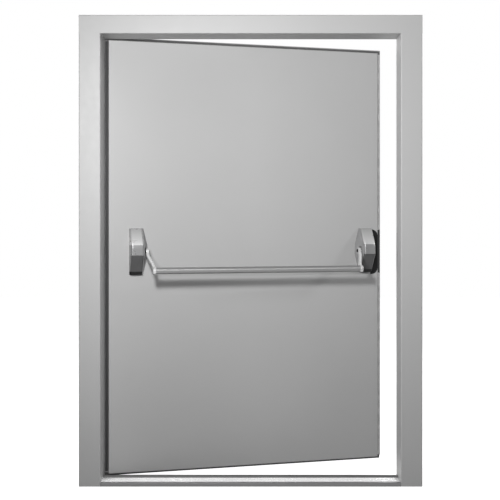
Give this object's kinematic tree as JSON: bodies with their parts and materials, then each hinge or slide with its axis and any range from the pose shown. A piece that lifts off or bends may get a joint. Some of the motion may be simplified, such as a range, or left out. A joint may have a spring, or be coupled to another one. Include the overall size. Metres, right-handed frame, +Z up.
{
  "type": "steel utility door",
  "caption": "Flush grey steel door leaf ajar in a wide folded steel frame with low threshold, pushed open by a horizontal bar on two lever arms.",
  "frame": {"origin": "on the floor, middle of the opening, in the plane of the shut leaf's push face", "axes": "+Z up, +X towards the lock jamb, +Y away from the push side (the way the door opens)"},
  "size_m": [1.53, 0.538, 2.1],
  "materials": {
    "frame_paint": "light grey satin paint",
    "leaf_paint": "light grey satin paint",
    "threshold_metal": "mill finish",
    "seal_rubber": "black",
    "galvanized": "zinc coated",
    "stainless": "brushed",
    "hinge_paint": "grey satin paint",
    "pin_steel": "bright steel",
    "case_silver": "silver satin lacquer",
    "case_dark": "dark grey",
    "lever_chrome": "bright",
    "bar_metal": "satin"
  },
  "bodies": {
    "frame": {"hinge_jamb": "frame_paint", "lock_jamb": "frame_paint", "strike_plate": "stainless", "frame_head": "frame_paint", "threshold": "threshold_metal", "threshold_stop": "seal_rubber", "hinge_jamb_seal": "seal_rubber", "lock_jamb_seal": "seal_rubber", "head_seal": "seal_rubber", "hinge_jamb_straps": "galvanized", "lock_jamb_straps": "galvanized", "low_hinge_frame_half": "hinge_paint", "low_hinge_pin": "pin_steel", "middle_hinge_frame_half": "hinge_paint", "middle_hinge_pin": "pin_steel", "high_hinge_frame_half": "hinge_paint", "high_hinge_pin": "pin_steel"},
    "leaf": {"leaf_push_sheet": "leaf_paint", "leaf_pull_sheet": "leaf_paint", "lock_forend": "stainless", "latch_bolt": "stainless", "low_hinge_leaf_half": "hinge_paint", "middle_hinge_leaf_half": "hinge_paint", "high_hinge_leaf_half": "hinge_paint", "hinge_side_case_cover": "case_silver", "hinge_side_case_toe": "case_dark", "hinge_side_lever_cheek": "case_silver", "hinge_side_pivot_pin": "pin_steel", "lock_side_case_cover": "case_silver", "lock_side_case_toe": "case_dark", "lock_side_lever_cheek": "case_silver", "lock_side_pivot_pin": "pin_steel"},
    "push_bar": {"push_bar_tube": "bar_metal", "hinge_side_lever_arm": "lever_chrome", "lock_side_lever_arm": "lever_chrome"}
  },
  "joints": [
    {"name": "door_swing", "type": "hinge", "parent": "frame", "child": "leaf", "pos_m": [-0.705, 0.047, 1.05], "axis": [0, 0, 1], "range_deg": [-15.5, 164.5]},
    {"name": "push_bar_press", "type": "hinge", "parent": "leaf", "child": "push_bar", "pos_m": [-0.47318, 0.02308, 1.041], "axis": [0.9636, 0.2672, 0], "range_deg": [0, 24], "stiffness_Nm_per_rad": 10, "springref_deg": -17.19}
  ]
}
